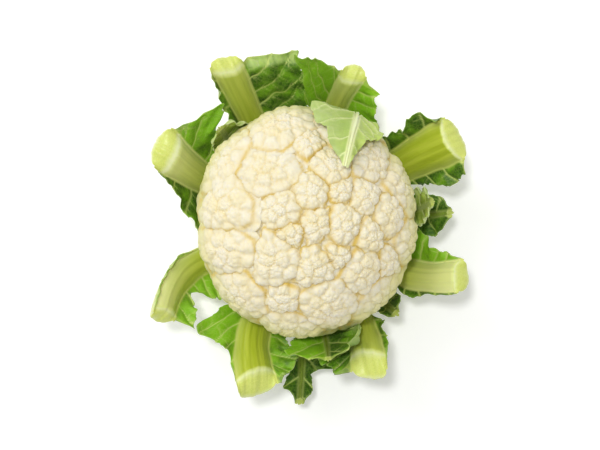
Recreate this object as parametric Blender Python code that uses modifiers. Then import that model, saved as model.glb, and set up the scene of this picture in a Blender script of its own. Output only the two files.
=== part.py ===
# A trimmed cauliflower standing on its cut stalk: the stalk, the florets of the curd that
# branch from it, and the leaves cut short round it.
# Metres, +Z up. The origin is the centre of the stalk's cut face.

import math

import bmesh
import bpy
import numpy as np

MM = 0.001
GAP = 0.3  # between neighbouring pieces. This and every size below is in millimetres.

# The curd is a dome about HEAD. These are its half-widths and its height above HEAD.
HEAD = np.array((0.0, 0.0, 78.0))
DOME = np.array((83.0, 89.0, 60.0))

STALK_RADIUS = 25.5  # also the radius of the stalk's round top, about HEAD
FOOT_RADIUS = 24.0
FOOT_HEIGHT = 8.0
STALK_ARC_POINTS = 6
STALK_STEPS = 24

FLORET_SPREAD = 1.16  # how much wider a floret would grow with no neighbours
FLORET_TAPER = 0.5  # the share of that width that it has lost where it leaves the stalk
FLORET_CAP = 0.8  # height of the rounded crown, as a share of the floret's half-breadth
FLORET_SEGMENTS = 12
FLORET_RINGS = 8

RIM_COUNT = 10  # florets under the rim of the dome
RIM_RADIUS = 72.0
RIM_DROP = 16.0  # below HEAD
RIM_BREADTH = (46.0, 32.0)

BLADE_CELLS = 3  # on each side of the rib
LEAF_CELLS = 8  # along the rib
BLADE_THICK = 1.2
LEAF_ROOT = STALK_RADIUS + 1.8

# Where each floret's crown is in plan, from the stalk's axis, and its breadth along X and Y,
# before the curd is enlarged by CURD_SCALE. The youngest florets are small, and they sit to
# one side of the axis.
CURD_SCALE = 1.12
FLORETS = (
    (-18, 64, 48, 36),
    (1, 50, 21, 15),
    (-24, 31, 48, 36),
    (-57, 40, 36, 36),
    (-54, 8, 42, 32),
    (-53, -24, 42, 32),
    (-18, 5, 27, 27),
    (-9, -12, 16, 16),
    (-22, -29, 34, 40),
    (7, -35, 26, 25),
    (16, 34, 30, 24),
    (4, 18, 25, 26),
    (23, 17, 18, 15),
    (8, -6, 20, 22),
    (26, -6, 24, 28),
    (42, -11, 16, 26),
    (40, 13, 20, 26),
    (37, -36, 30, 27),
    (22, -26, 16, 14),
    (46, 38, 30, 30),
    (65, 22, 24, 38),
    (56, 3, 20, 34),
    (57, -29, 16, 24),
    (68, -14, 18, 28),
    (52, -52, 36, 32),
    (14, -58, 48, 32),
    (-15, -56, 27, 22),
    (-45, -51, 36, 30),
    (-10, -74, 42, 22),
    (24, 64, 34, 28),
)

# Each leaf is laid out with its rib going out along +X, then turned about the stalk by "turn"
# degrees. The rib leaves the stalk at the height "root", and "rib" holds the control points
# that its curve follows from there: out, to the left and up. "wide" and "thick" are the rib's
# size at the root and at the cut end. A blade's "edge" gives its width at shares of the rib's
# length. The blade rises from the rib by "lift" degrees, by "curl" more at its edge, and leans
# towards the leaf's end by "sweep".
LEAVES = {
    "outer_leaf_1": dict(
        turn=117, root=15, rib=((74, 0, 10), (88, 0, 40), (126, 0, 84)), wide=(15, 21), thick=(12, 10),
        left=dict(lift=45, curl=20, sweep=0, edge=((0.4, 0), (0.62, 15), (0.85, 9), (1, 7))),
        right=dict(lift=10, curl=8, sweep=-18, edge=((0.4, 0), (0.6, 34), (0.8, 41), (1, 40))),
    ),
    "outer_leaf_2": dict(
        turn=76, root=27, rib=((74, 2, 22), (92, 2, 46), (112, -8, 84)), wide=(13, 17), thick=(11, 9),
        left=dict(lift=22, curl=5, sweep=40, edge=((0.45, 0), (0.62, 21), (0.8, 32), (0.95, 54), (1, 40))),
        right=dict(lift=24, curl=5, sweep=-5, edge=((0.42, 0), (0.58, 29), (0.7, 33), (0.85, 26), (1, 15))),
    ),
    "outer_leaf_3": dict(
        turn=30, root=15, rib=((72, 3, 10), (88, 4, 38), (124, -2, 78)), wide=(17, 33), thick=(12, 10),
        left=dict(lift=30, curl=20, sweep=0, edge=((0.4, 0), (0.6, 18), (0.75, 12), (0.9, 17), (1, 6))),
        right=dict(lift=12, curl=0, sweep=0, edge=((0.5, 0), (0.7, 8), (0.9, 15), (1, 12))),
    ),
    "outer_leaf_4": dict(
        turn=-23, root=27, rib=((74, -5, 22), (90, -10, 46), (119, 7, 80)), wide=(14, 24), thick=(11, 10),
        left=dict(lift=32, curl=5, sweep=-5, edge=((0.38, 0), (0.55, 36), (0.7, 24), (0.9, 8), (1, 2))),
        right=dict(lift=20, curl=0, sweep=0, edge=((0.45, 0), (0.65, 6), (0.9, 3), (1, 2))),
    ),
    "outer_leaf_5": dict(
        turn=-63, root=27, rib=((74, 4, 22), (88, 8, 46), (117, -8, 84)), wide=(13, 25), thick=(11, 10),
        left=dict(lift=30, curl=10, sweep=0, edge=((0.55, 0), (0.72, 9), (0.86, 6), (1, 1))),
        right=dict(lift=5, curl=0, sweep=0, edge=((0.42, 0), (0.6, 24), (0.8, 26), (1, 14))),
    ),
    "outer_leaf_6": dict(
        turn=-110, root=27, rib=((74, -6, 22), (90, -20, 46), (125, 9, 84)), wide=(14, 30), thick=(11, 10),
        left=dict(lift=15, curl=0, sweep=0, edge=((0.45, 0), (0.65, 14), (0.82, 20), (0.92, 14), (1, 4))),
        right=dict(lift=8, curl=0, sweep=22,
                   edge=((0.4, 0), (0.52, 22), (0.64, 33), (0.74, 14), (0.84, 3), (1, 1))),
    ),
    "outer_leaf_7": dict(
        turn=-155, root=15, rib=((72, -5, 10), (98, -22, 34), (122, 18, 80)), wide=(19, 20), thick=(12, 9),
        left=dict(lift=25, curl=10, sweep=0,
                  edge=((0.4, 0), (0.56, 25), (0.68, 22), (0.77, 4), (0.86, 13), (1, 15))),
        right=dict(lift=50, curl=0, sweep=0, edge=((0.5, 0), (0.7, 4), (0.9, 3), (1, 2))),
    ),
    "outer_leaf_8": dict(
        turn=155, root=27, rib=((74, 3, 22), (88, 4, 46), (115, -4, 86)), wide=(14, 28), thick=(11, 10),
        left=dict(lift=25, curl=10, sweep=-15, edge=((0.38, 0), (0.56, 42), (0.7, 24), (0.9, 6), (1, 1))),
        right=dict(lift=20, curl=5, sweep=0,
                   edge=((0.4, 0), (0.58, 19), (0.82, 25), (0.93, 42), (0.98, 14), (1, 4))),
    ),
    "middle_leaf_1": dict(
        turn=4, root=15, rib=((68, 0, 10), (86, 0, 36), (110, 0, 56)), wide=(9, 4), thick=(8, 3),
        left=dict(lift=12, curl=5, sweep=0, edge=((0.5, 0), (0.7, 16), (0.9, 14), (1, 3))),
        right=dict(lift=12, curl=5, sweep=0, edge=((0.5, 0), (0.7, 16), (0.9, 14), (1, 3))),
    ),
    "middle_leaf_2": dict(
        turn=-45, root=15, rib=((68, 0, 10), (84, 0, 34), (96, 0, 58)), wide=(9, 4), thick=(8, 3),
        left=dict(lift=14, curl=5, sweep=10, edge=((0.55, 0), (0.75, 12), (0.9, 11), (1, 3))),
        right=dict(lift=20, curl=10, sweep=0, edge=((0.6, 0), (0.78, 9), (0.9, 9), (1, 3))),
    ),
    "middle_leaf_3": dict(
        turn=-91, root=15, rib=((72, 0, 11), (106, 0, 18), (136, -2, 38)), wide=(9, 4), thick=(8, 3),
        left=dict(lift=12, curl=5, sweep=15,
                  edge=((0.45, 0), (0.6, 20), (0.68, 24), (0.75, 8), (0.88, 8), (1, 2))),
        right=dict(lift=12, curl=5, sweep=10, edge=((0.45, 0), (0.7, 6), (0.86, 12), (1, 2))),
    ),
    "inner_leaf_1": dict(
        turn=62, root=41, rib=((98, 4, 22), (100, 6, 98), (78, 2, 130), (43, -8, 137)),
        wide=(8, 4), thick=(5, 2),
        left=dict(lift=0, curl=14, sweep=0, edge=((0.35, 0), (0.52, 24), (0.7, 32), (0.86, 15), (1, 1))),
        right=dict(lift=0, curl=14, sweep=0, edge=((0.35, 0), (0.52, 22), (0.68, 21), (0.84, 8), (1, 1))),
    ),
    "inner_leaf_2": dict(
        turn=133, root=41, rib=((82, 0, 28), (88, 0, 62), (91, 0, 90)), wide=(8, 4), thick=(5, 2),
        left=dict(lift=5, curl=10, sweep=0, edge=((0.55, 0), (0.78, 14), (0.95, 10), (1, 3))),
        right=dict(lift=5, curl=10, sweep=0, edge=((0.5, 0), (0.75, 20), (0.95, 14), (1, 4))),
    ),
    "inner_leaf_3": dict(
        turn=-82, root=41, rib=((82, 2, 28), (92, 4, 62), (102, 2, 86)), wide=(8, 4), thick=(5, 2),
        left=dict(lift=12, curl=25, sweep=0, edge=((0.45, 0), (0.65, 24), (0.88, 34), (1, 20))),
        right=dict(lift=8, curl=10, sweep=0, edge=((0.45, 0), (0.65, 20), (0.9, 26), (1, 18))),
    ),
    "inner_leaf_4": dict(
        turn=6, root=41, rib=((82, 0, 28), (87, 0, 62), (93, 4, 90)), wide=(7, 3), thick=(5, 2),
        left=dict(lift=5, curl=10, sweep=0, edge=((0.55, 0), (0.8, 14), (0.95, 11), (1, 4))),
        right=dict(lift=5, curl=10, sweep=0, edge=((0.5, 0), (0.75, 16), (0.92, 10), (1, 2))),
    ),
}


def clear_scene():
    for thing in list(bpy.data.objects):
        bpy.data.objects.remove(thing)


def material(name, colour, roughness):
    made = bpy.data.materials.new(name)
    made.use_nodes = True
    shader = made.node_tree.nodes["Principled BSDF"]
    shader.inputs["Base Color"].default_value = (*colour, 1)
    shader.inputs["Roughness"].default_value = roughness
    shader.inputs["Metallic"].default_value = 0
    return made


def add_object(name, mesh, colour, roughness, collection):
    mesh.materials.append(material(name, colour, roughness))
    made = bpy.data.objects.new(name, mesh)
    collection.objects.link(made)
    return made


def unit(vector):
    return vector / np.linalg.norm(vector)


def turned(points, degrees):
    # The points turned about +Z.
    cos, sin = math.cos(math.radians(degrees)), math.sin(math.radians(degrees))
    return points @ np.array(((cos, sin, 0), (-sin, cos, 0), (0, 0, 1)))


# Stalk: a turned post whose round top is a ball about HEAD.


def stalk_profile():
    top = HEAD[2]
    outline = [(0, 0), (FOOT_RADIUS, 0), (STALK_RADIUS, FOOT_HEIGHT), (STALK_RADIUS, top)]
    for step in range(1, STALK_ARC_POINTS + 1):
        angle = math.pi / 2 * step / STALK_ARC_POINTS
        outline.append((STALK_RADIUS * math.cos(angle), top + STALK_RADIUS * math.sin(angle)))
    return outline


def add_stalk(collection):
    shape = bmesh.new()
    corners = [shape.verts.new((x * MM, 0, z * MM)) for x, z in reversed(stalk_profile())]
    for start, end in zip(corners, corners[1:]):
        shape.edges.new((start, end))
    mesh = bpy.data.meshes.new("stalk")
    shape.to_mesh(mesh)
    shape.free()
    stalk = add_object("stalk", mesh, (0.72, 0.78, 0.5), 0.5, collection)
    screw = stalk.modifiers.new("Turn", "SCREW")
    screw.steps = screw.render_steps = STALK_STEPS
    screw.use_merge_vertices = True
    screw.merge_threshold = 0.00001


# Florets: each is a rounded crown on a branch that narrows towards the stalk's round top,
# and the flat sides where it meets its neighbours all pass through HEAD.


def crowns():
    # (crown, half-breadths) of each floret.
    made = []
    for x, y, wide, deep in np.array(FLORETS) * CURD_SCALE:
        flat = 1 - (x / DOME[0]) ** 2 - (y / DOME[1]) ** 2
        crown = HEAD + np.array((x, y, DOME[2] * math.sqrt(max(flat, 0.01))))
        aim = unit(crown - HEAD)
        # A floret near the rim is seen foreshortened in plan.
        slopes = np.sqrt(1 - aim[:2] ** 2)
        made.append((crown, np.array((wide, deep)) / slopes / 2))
    for step in range(RIM_COUNT):
        place = turned(np.array((RIM_RADIUS, 0, -RIM_DROP)), 360 * (step + 0.5) / RIM_COUNT)
        place[:2] *= DOME[:2] / DOME[0]
        made.append((HEAD + place, np.array(RIM_BREADTH) / 2))
    return made


def frame_of(crown):
    # Two directions across the floret and the one along it. Across is along X near the top
    # of the dome, and level under its rim.
    aim = unit(crown - HEAD)
    level = np.array((1.0, 0.0, 0.0)) if aim[2] > 0 else np.array((-aim[1], aim[0], 0.0))
    across = unit(level - aim * aim.dot(level))
    return across, np.cross(aim, across), aim


def half_breadth(floret, towards):
    # The floret's size in the direction of a neighbour.
    crown, halves = floret
    across, deep, aim = frame_of(crown)
    side = unit(towards - crown - aim * aim.dot(towards - crown))
    return 1 / math.hypot(side.dot(across) / halves[0], side.dot(deep) / halves[1])


def divides(florets, index):
    # The normals of the planes through HEAD that part a floret from all the others.
    own = florets[index]
    normals = []
    for other in florets[:index] + florets[index + 1 :]:
        near, far = half_breadth(own, other[0]), half_breadth(other, own[0])
        meet = unit(own[0] + (other[0] - own[0]) * near / (near + far) - HEAD)
        apart = other[0] - own[0]
        normals.append(unit(apart - meet * apart.dot(meet)))
    return np.array(normals)


def is_within(points, floret, normals):
    crown, halves = floret
    across, deep, aim = frame_of(crown)
    halves = halves * FLORET_SPREAD
    place = points - HEAD
    along = place @ aim
    reach = np.linalg.norm(crown - HEAD)
    shoulder = reach - FLORET_CAP * halves.min()
    cap = np.sqrt(np.clip(1 - ((along - shoulder) / (reach - shoulder)) ** 2, 0, 1))
    branch = 1 - FLORET_TAPER * (shoulder - along) / (shoulder - STALK_RADIUS)
    width = np.where(along > shoulder, cap, branch)
    within = np.hypot(place @ across / halves[0], place @ deep / halves[1]) < width
    within &= (along > STALK_RADIUS + GAP) & (along < reach)
    within &= (place @ normals.T < -GAP / 2).all(axis=1)
    if aim[2] < 0:
        within &= place[:, :2] @ unit(aim[:2]) > STALK_RADIUS + GAP
    return within


def add_floret(name, florets, index, collection):
    floret = florets[index]
    across, deep, aim = frame_of(floret[0])
    normals = divides(florets, index)
    shape = bmesh.new()
    bmesh.ops.create_uvsphere(shape, u_segments=FLORET_SEGMENTS, v_segments=FLORET_RINGS, radius=1)
    directions = np.array([tuple(vert.co) for vert in shape.verts]) @ np.array((across, deep, aim))
    middle = HEAD + aim * (0.35 * STALK_RADIUS + 0.65 * np.linalg.norm(floret[0] - HEAD))
    # Each vertex of the ball goes out until it meets the floret's boundary.
    near, far = np.zeros(len(directions)), np.full(len(directions), 2 * DOME[2])
    for _ in range(24):
        half = (near + far) / 2
        within = is_within(middle + directions * half[:, None], floret, normals)
        near, far = np.where(within, half, near), np.where(within, far, half)
    for vert, place in zip(shape.verts, middle + directions * near[:, None]):
        vert.co = place * MM
    mesh = bpy.data.meshes.new(name)
    shape.to_mesh(mesh)
    shape.free()
    mesh.shade_smooth()
    add_object(name, mesh, (0.91, 0.84, 0.66), 0.6, collection)


# Leaves: each is a sheet over the rib and its two blades, with the rib thickened outwards.


def smooth(share):
    return share * share * (3 - 2 * share)


def edge_width(edge, share):
    # A blade's width at a share of the rib's length, eased between the edge's points.
    for (start, low), (end, high) in zip(edge, edge[1:]):
        if share <= end:
            return low + (high - low) * smooth(max((share - start) / (end - start), 0))
    return edge[-1][1]


def on_curve(points, share):
    points = np.array(points, float)
    while len(points) > 1:
        points = points[:-1] + (points[1:] - points[:-1]) * share
    return points[0]


def blade_step(side, sign, share, reach, axes):
    # From the rib's edge to a share "reach" of the blade's width.
    ahead, left, inward = axes
    width = edge_width(side["edge"], share)
    sweep = math.radians(side["sweep"])
    angle = math.radians(side["lift"] + side["curl"] * reach / 2)
    out = sign * left * math.cos(sweep) + ahead * math.sin(sweep)
    return (out * math.cos(angle) + inward * math.sin(angle)) * width * reach


def leaf_point(leaf, across, share):
    # "across" runs from -1 at the left edge to 1 at the right, and the rib is its middle.
    rib = ((LEAF_ROOT, 0, leaf["root"]), *leaf["rib"])
    place = on_curve(rib, share)
    ahead = unit(on_curve(rib, min(share + 0.01, 1)) - on_curve(rib, max(share - 0.01, 0)))
    left = np.array((0.0, 1.0, 0.0))
    left = unit(left - ahead * ahead.dot(left))
    axes = ahead, left, np.cross(ahead, left)
    wide = leaf["wide"][0] + (leaf["wide"][1] - leaf["wide"][0]) * share
    rib_share = 1 / (BLADE_CELLS + 1)
    if abs(across) <= rib_share + 1e-6:
        return place - left * across / rib_share * wide / 2
    sign, side = (1, leaf["left"]) if across < 0 else (-1, leaf["right"])
    reach = (abs(across) - rib_share) / (1 - rib_share)
    return place + left * sign * wide / 2 + blade_step(side, sign, share, reach, axes)


def thickness(leaf, across, share):
    # The rib's thickness, falling to the blade's at the rib's edges.
    rib = leaf["thick"][0] + (leaf["thick"][1] - leaf["thick"][0]) * share
    return max(rib * (1 - abs(across) * (BLADE_CELLS + 1)), BLADE_THICK)


def add_leaf(name, leaf, collection):
    shape = bmesh.new()
    bmesh.ops.create_grid(shape, x_segments=2 * BLADE_CELLS + 2, y_segments=LEAF_CELLS, size=1)
    mesh = bpy.data.meshes.new(name)
    shape.to_mesh(mesh)
    shape.free()
    thickest = max(leaf["thick"])
    weights = []
    for vert in mesh.vertices:
        across, share = vert.co.x, (vert.co.y + 1) / 2
        vert.co = turned(leaf_point(leaf, across, share), leaf["turn"]) * MM
        weights.append(thickness(leaf, across, share) / thickest)
    blade = add_object(name, mesh, (0.16, 0.3, 0.04), 0.5, collection)
    group = blade.vertex_groups.new(name="thickness")
    for index, weight in enumerate(weights):
        group.add([index], weight, "REPLACE")
    solid = blade.modifiers.new("Thickness", "SOLIDIFY")
    solid.thickness = thickest * MM
    solid.offset = -1
    solid.vertex_group = "thickness"


def main():
    clear_scene()
    collection = bpy.data.collections.new("cauliflower")
    bpy.context.scene.collection.children.link(collection)
    add_stalk(collection)
    florets = crowns()
    for index in range(len(florets)):
        add_floret(f"floret_{index + 1:02d}", florets, index, collection)
    for name, leaf in LEAVES.items():
        add_leaf(name, leaf, collection)


main()
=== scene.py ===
# A whole cauliflower on a pale floor, lit softly from the upper left and seen from above.
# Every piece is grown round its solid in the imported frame. Sizes are in millimetres, apart from
# the stage's and the materials', which are in metres.
import math

import bmesh
import bpy
import numpy as np
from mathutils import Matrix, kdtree


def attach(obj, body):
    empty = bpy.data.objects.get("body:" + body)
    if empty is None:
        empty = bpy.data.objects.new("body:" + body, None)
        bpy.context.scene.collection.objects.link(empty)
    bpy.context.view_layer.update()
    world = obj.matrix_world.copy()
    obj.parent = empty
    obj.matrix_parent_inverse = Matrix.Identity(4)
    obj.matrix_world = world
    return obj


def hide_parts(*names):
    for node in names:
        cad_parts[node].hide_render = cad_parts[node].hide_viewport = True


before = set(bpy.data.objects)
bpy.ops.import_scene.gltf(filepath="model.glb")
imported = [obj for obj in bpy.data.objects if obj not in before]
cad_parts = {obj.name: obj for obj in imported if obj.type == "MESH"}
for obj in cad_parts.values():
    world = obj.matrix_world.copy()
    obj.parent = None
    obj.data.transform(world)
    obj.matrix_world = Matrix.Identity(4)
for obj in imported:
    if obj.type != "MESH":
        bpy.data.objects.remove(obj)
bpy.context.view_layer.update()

mm = 0.001


# Small helpers for shapes.

def unit(vectors):
    return vectors / np.maximum(np.linalg.norm(vectors, axis=-1, keepdims=True), 1e-9)


def turned(points, degrees):
    cos, sin = math.cos(math.radians(degrees)), math.sin(math.radians(degrees))
    return points @ np.array(((cos, sin, 0), (-sin, cos, 0), (0, 0, 1)))


def eased(values, low=0.0, high=1.0):
    share = np.clip((values - low) / (high - low), 0, 1)
    return share * share * (3 - 2 * share)


def waves(values, length, seed, layers=4):
    # a smooth wander between about -1 and 1, with features of this length
    rng = np.random.default_rng(seed)
    total = np.zeros(np.shape(values))
    for layer in range(layers):
        pitch = length / (0.7 + 0.55 * layer) * rng.uniform(0.85, 1.2)
        total = total + np.sin(2 * np.pi * (values / pitch + rng.random())) / (1 + 0.6 * layer)
    return total / 1.9


def vertexNormals(points, triangles):
    a, b, c = (points[triangles[:, k]] for k in range(3))
    faceNormals = np.cross(b - a, c - a)
    total = np.zeros_like(points)
    for corner in range(3):
        for axis in range(3):
            total[:, axis] += np.bincount(triangles[:, corner], faceNormals[:, axis], len(points))
    return unit(total)


def addPiece(name, points, faces, material, fields, corners=None):
    # One mesh piece of the part. Its vertices hold the values that its material reads, and corners
    # are its faces' places on the flat map.
    mesh = bpy.data.meshes.new(name)
    mesh.from_pydata((points * mm).tolist(), [], faces)
    mesh.shade_smooth()
    for fieldName, values in fields.items():
        kind = "FLOAT" if values.ndim == 1 else "FLOAT_VECTOR"
        stored = mesh.attributes.new(fieldName, kind, "POINT")
        stored.data.foreach_set("value" if kind == "FLOAT" else "vector", values.astype("f").ravel())
    if corners is not None:
        mesh.uv_layers.new(name="OFBake").data.foreach_set("uv", corners.astype("f").ravel())
    mesh.materials.append(material)
    piece = bpy.data.objects.new(name, mesh)
    bpy.context.scene.collection.objects.link(piece)
    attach(piece, "root")
    return piece


# Small helpers for shaders.

class Wire:
    # a socket that can be used in sums

    def __init__(self, board, socket):
        self.board, self.socket = board, socket

    def sum(self, operation, first, second):
        return self.board.node("Math", {"operation": operation}, {0: first, 1: second})

    def __add__(self, other):
        return self.sum("ADD", self, other)

    def __sub__(self, other):
        return self.sum("SUBTRACT", self, other)

    def __rsub__(self, other):
        return self.sum("SUBTRACT", other, self)

    def __mul__(self, other):
        return self.sum("MULTIPLY", self, other)

    __radd__, __rmul__ = __add__, __mul__


class Board:
    # a material and its nodes

    def __init__(self, name, fixed):
        self.material = bpy.data.materials.new(name)
        self.material.use_nodes = True
        self.tree = self.material.node_tree
        self.shader = self.tree.nodes["Principled BSDF"]
        for socket, value in fixed.items():
            self.shader.inputs[socket].default_value = value

    def node(self, kind, settings, sockets, output=0):
        made = self.tree.nodes.new("ShaderNode" + kind)
        for setting, value in settings.items():
            setattr(made, setting, value)
        for socket, value in sockets.items():
            if isinstance(value, Wire):
                self.tree.links.new(value.socket, made.inputs[socket])
            else:
                made.inputs[socket].default_value = value
        return Wire(self, made.outputs[output])

    def field(self, name, output="Fac"):
        return self.node("Attribute", {"attribute_name": name}, {}, output)

    def blend(self, share, first, second):
        settings = {"data_type": "RGBA", "clamp_factor": True}
        return self.node("Mix", settings, {0: share, 6: first, 7: second}, 2)

    def between(self, value, low, high, start=0.0, end=1.0):
        settings = {"clamp": True, "interpolation_type": "SMOOTHSTEP"}
        return self.node("MapRange", settings, {0: value, 1: low, 2: high, 3: start, 4: end})

    def noise(self, vector, scale, detail=3.0, roughness=0.5):
        sockets = {"Vector": vector, "Scale": scale, "Detail": detail, "Roughness": roughness}
        return self.node("TexNoise", {}, sockets)

    def finish(self, colour, roughness=None, height=None, depth=0.0002, strength=1.0):
        self.tree.links.new(colour.socket, self.shader.inputs["Base Color"])
        if roughness is not None:
            self.tree.links.new(roughness.socket, self.shader.inputs["Roughness"])
        if height is not None:
            bump = self.node("Bump", {}, {"Strength": strength, "Distance": depth, "Height": height})
            self.tree.links.new(bump.socket, self.shader.inputs["Normal"])
        return self.material


def shade(*screen):
    # a screen colour, from 0 to 255, as the shader's linear one
    shares = [value / 255 for value in screen]
    linear = [value / 12.92 if value <= 0.04045 else ((value + 0.055) / 1.055) ** 2.4 for value in shares]
    return (*linear, 1.0)


# Curd: each floret keeps its solid's outline, rounded, and carries lobes, buds and grains.

curd = {
    "florets": 40,
    "hidden": 10,  # the last of them, which the leaves hide and whose mesh is coarser
    "head": (0, 0, 78),  # where the branches meet
    "dome": (82, 86, 60),
    "crownDetail": 1.9,  # above 1, more of the mesh lies on the crown
    "sharpness": (32.0, 40.0),  # of the edges round a floret's crown
    "press": 4.7,  # how far a floret pushes into its neighbours
    "plump": 1.0,  # how far the crown pushes out past the solid
    "plumpSpread": (-0.5, 0.6),  # and how much more or less than that a floret may
    "shoulder": (0.9, 4.2),  # of the rounded edge: breadth as a share of the floret's, and drop
    "fall": (0.35, 0.65, 0.8),  # how much of the drop is steady and how much round, and the slope past it
    "levels": (  # spacing at the crown and at its edge, height, unevenness, softness, painted shade in the creases
        (8.0, 11.5, 0.19, 0.1, 3, 0.6),
        (3.3, 4.4, 0.17, 0.07, 1, 0.3),
        (1.7, 1.9, 0.1, 0.05, 0, 0.1),
    ),
    "meetingShade": 0.95,  # half the breadth of the yellow line of painted shade where florets meet
    "turnsGreen": (112, 24),  # the height from which the curd turns green, and over how far down
    "cream": shade(231, 225, 204),
    # warm cream: the curd's own patchy tone, and also the colour of its painted shade in creases
    "warmCreamAndShade": shade(229, 214, 160),
    "rimGreen": shade(206, 204, 122),  # where the curd turns under
    # ochre: painted shade in the crevices and between florets
    "shadeOchre": shade(210, 178, 70),
}


def curdMaterial():
    board = Board("curd", {"Roughness": 0.62, "Subsurface Weight": 0.35, "Subsurface Scale": 0.004,
                           "Subsurface Radius": (1.0, 0.92, 0.5), "Specular IOR Level": 0.35})
    place = board.node("TexCoord", {}, {}, "Object")
    creaseShade, creviceShade, low = (board.field(kind) for kind in ("creaseShade", "creviceShade", "low"))
    patches = board.noise(place, 60, 3)
    specks = board.noise(place, 900, 2)
    colour = board.blend(board.between(patches, 0.35, 0.75) * 0.55, curd["cream"], curd["warmCreamAndShade"])
    # Painted shade: creases between the lobes are tinted warm cream and ochre, as if in shadow.
    colour = board.blend(creaseShade * 0.5, colour, curd["warmCreamAndShade"])
    colour = board.blend(board.between(creaseShade, 0.4, 0.9) * 0.2, colour, curd["shadeOchre"])
    colour = board.blend(low * 0.75, colour, curd["rimGreen"])
    # painted shade inside the dome and where florets meet
    colour = board.blend(creviceShade, colour, curd["shadeOchre"])
    colour = board.blend(board.between(specks, 0.35, 0.7) * 0.12, colour, curd["warmCreamAndShade"])
    return board.finish(colour, None, specks, 0.00025, 0.6)


def ball(level):
    # points and triangles of a fine round ball
    shape = bmesh.new()
    bmesh.ops.create_icosphere(shape, subdivisions=level, radius=1)
    points = np.array([tuple(vert.co) for vert in shape.verts])
    faces = np.array([[vert.index for vert in face.verts] for face in shape.faces])
    shape.free()
    return unit(points), faces


def levelled(values, triangles):
    # each value moved halfway to the average of its neighbours
    around, count = np.zeros(len(values)), np.zeros(len(values))
    for corner, other in ((0, 1), (1, 2), (2, 0)):
        around += np.bincount(triangles[:, corner], values[triangles[:, other]], len(values))
        count += np.bincount(triangles[:, corner], minlength=len(values))
    return (values + around / count) / 2


def treeOf(points):
    tree = kdtree.KDTree(len(points))
    for index, point in enumerate(points.tolist()):
        tree.insert(point, index)
    tree.balance()
    return tree


def pebbles(points, spacing, uneven, rng):
    # Rounded pebbles all over the surface: how near each point is to a pebble's rim, from 0
    # at the rim to 1, and how far its pebble stands out.
    tree = treeOf(points)
    free = np.ones(len(points), bool)
    seeds = []
    for index in rng.permutation(len(points)).tolist():
        if free[index]:
            seeds.append(index)
            found = tree.find_range(points[index].tolist(), spacing[index] * 0.86)
            free[[other for _, other, _ in found]] = False
    if len(seeds) < 2:
        return np.ones(len(points)), np.zeros(len(points))
    seedPoints = points[seeds]
    seedTree = treeOf(seedPoints)
    near, gaps = np.zeros((len(points), 2), int), np.zeros((len(points), 2))
    for index, point in enumerate(points.tolist()):
        for rank, (_, found, gap) in enumerate(seedTree.find_n(point, 2)):
            near[index, rank], gaps[index, rank] = found, gap
    apart = np.linalg.norm(seedPoints[near[:, 0]] - seedPoints[near[:, 1]], axis=1)
    toRim = (gaps[:, 1] ** 2 - gaps[:, 0] ** 2) / (2 * apart)
    toRim = np.clip(toRim / (0.46 * spacing[seeds][near[:, 0]]), 0, 1)
    raised = (spacing[seeds] * rng.uniform(0, uneven, len(seeds)))[near[:, 0]]
    return toRim, raised * eased(toRim, 0, 0.7)


def crownMap(directions, faces):
    # The floret's surface laid flat, from the middle of its crown outwards.
    ring = np.sqrt(np.clip((1 - directions[:, 2]) / 2, 0, 1))
    angle = np.arctan2(directions[:, 1], directions[:, 0])
    angles = angle[faces]
    poles = ring[faces] > 0.9999
    for row in np.nonzero(poles.any(axis=1))[0]:
        others = angles[row][~poles[row]]
        angles[row][poles[row]] = math.atan2(np.sin(others).sum(), np.cos(others).sum())
    rings = ring[faces] * 0.49
    return np.stack((0.5 + rings * np.cos(angles), 0.5 + rings * np.sin(angles)), axis=-1)


def floretSides(corners, triangles, head):
    # The floret's flat sides are the planes that pass close to the head.
    a, b, c = (corners[triangles[:, k]] for k in range(3))
    cross = np.cross(b - a, c - a)
    sizes = np.linalg.norm(cross, axis=1)
    normals = unit(cross)
    flat = (sizes > 1) & (np.abs(((a - head) * normals).sum(axis=1)) < 1.0)
    sides = []
    for normal in normals[flat][np.argsort(-sizes[flat])]:
        if all(normal @ other < 0.97 for other in sides):
            sides.append(normal)
    return np.array(sides)


def floretBody(directions, head, middle, aim, length, sides, rng):
    # The plain floret: outwards the dome ends it, sideways its neighbours and inwards the branch.
    dome = np.array(curd["dome"], float)
    start, way = (middle - head) / dome, directions / dome
    square, cross, rest = (way ** 2).sum(axis=1), way @ start, start @ start - 1
    outward = (np.sqrt(cross ** 2 - square * rest) - cross) / square
    inward = np.clip(-(directions @ aim), 0, None) / length / 0.62
    offsets = np.abs((head - middle) @ sides.T) + curd["press"]
    beside = ((np.clip(directions @ sides.T, 0, None) / offsets) ** 18).sum(axis=1) ** (1 / 18)
    limits = np.column_stack((beside, 1 / outward, inward))
    power = rng.uniform(*curd["sharpness"])
    reach = (limits ** power).sum(axis=1) ** (-1 / power)
    points = middle + directions * (reach + curd["plump"] + rng.uniform(*curd["plumpSpread"]))[:, None]
    # The crown falls away in a rounded shoulder towards its neighbours.
    toSide = -((points - head) @ sides.T).max(axis=1)
    breadth = np.abs((head - middle) @ sides.T).min() * 1.3
    shoulderBreadth, shoulderDrop = curd["shoulder"]
    steady, rounded, past = curd["fall"]
    shoulder = np.clip(toSide / (breadth * shoulderBreadth), 0, 1)
    fall = steady * (1 - shoulder) ** 2 + rounded * (1 - np.sqrt(1 - (1 - shoulder) ** 2))
    drop = shoulderDrop * fall + past * np.clip(-toSide, 0, None)
    return points - aim * (drop * eased(directions @ aim, -0.2, 0.5))[:, None], toSide


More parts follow.
